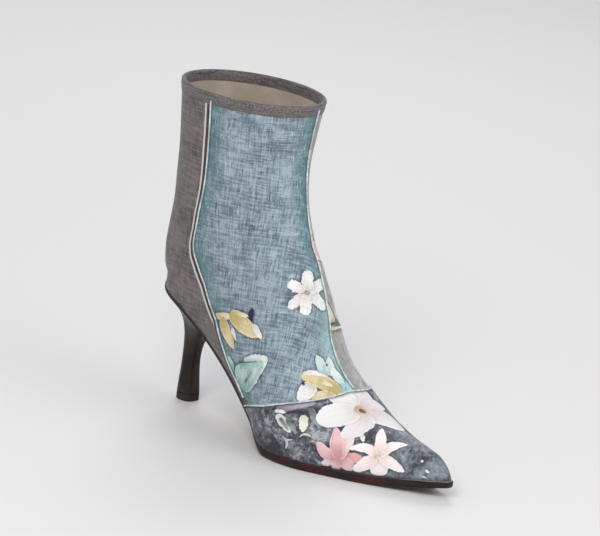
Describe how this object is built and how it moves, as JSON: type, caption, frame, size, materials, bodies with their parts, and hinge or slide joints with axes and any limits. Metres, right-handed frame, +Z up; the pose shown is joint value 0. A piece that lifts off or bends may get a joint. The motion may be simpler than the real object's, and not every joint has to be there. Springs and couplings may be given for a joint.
{
  "type": "pointed-toe ankle boot",
  "caption": "Pointed-toe ankle boot with a hollow patchwork cloth upper, a thin arched sole and a slim flared heel.",
  "frame": {"origin": "centre of the heel's tread, on the floor", "axes": "+X to the toe, +Y to the inner side of the foot, +Z up"},
  "size_m": [0.2541, 0.0866, 0.2173],
  "materials": {
    "denim": "printed denim patchwork, matt with a slight sheen on the vamp",
    "sole_leather": "dark brown dyed edge, satin",
    "insole_leather": "plain tan lining leather, satin",
    "heel_leather": "dark brown wrapped leather, low gloss, scuffed",
    "heel_rubber": "matt black-brown",
    "selvedge": "pale frayed cloth edge, matt"
  },
  "bodies": {
    "root": {"upper": "denim", "outsole": "sole_leather", "insole": "insole_leather", "heel": "heel_leather", "top_piece": "heel_rubber", "vamp_piping": "selvedge", "front_piping": "selvedge", "back_piping_outer": "selvedge", "back_piping_inner": "selvedge"}
  },
  "joints": []
}
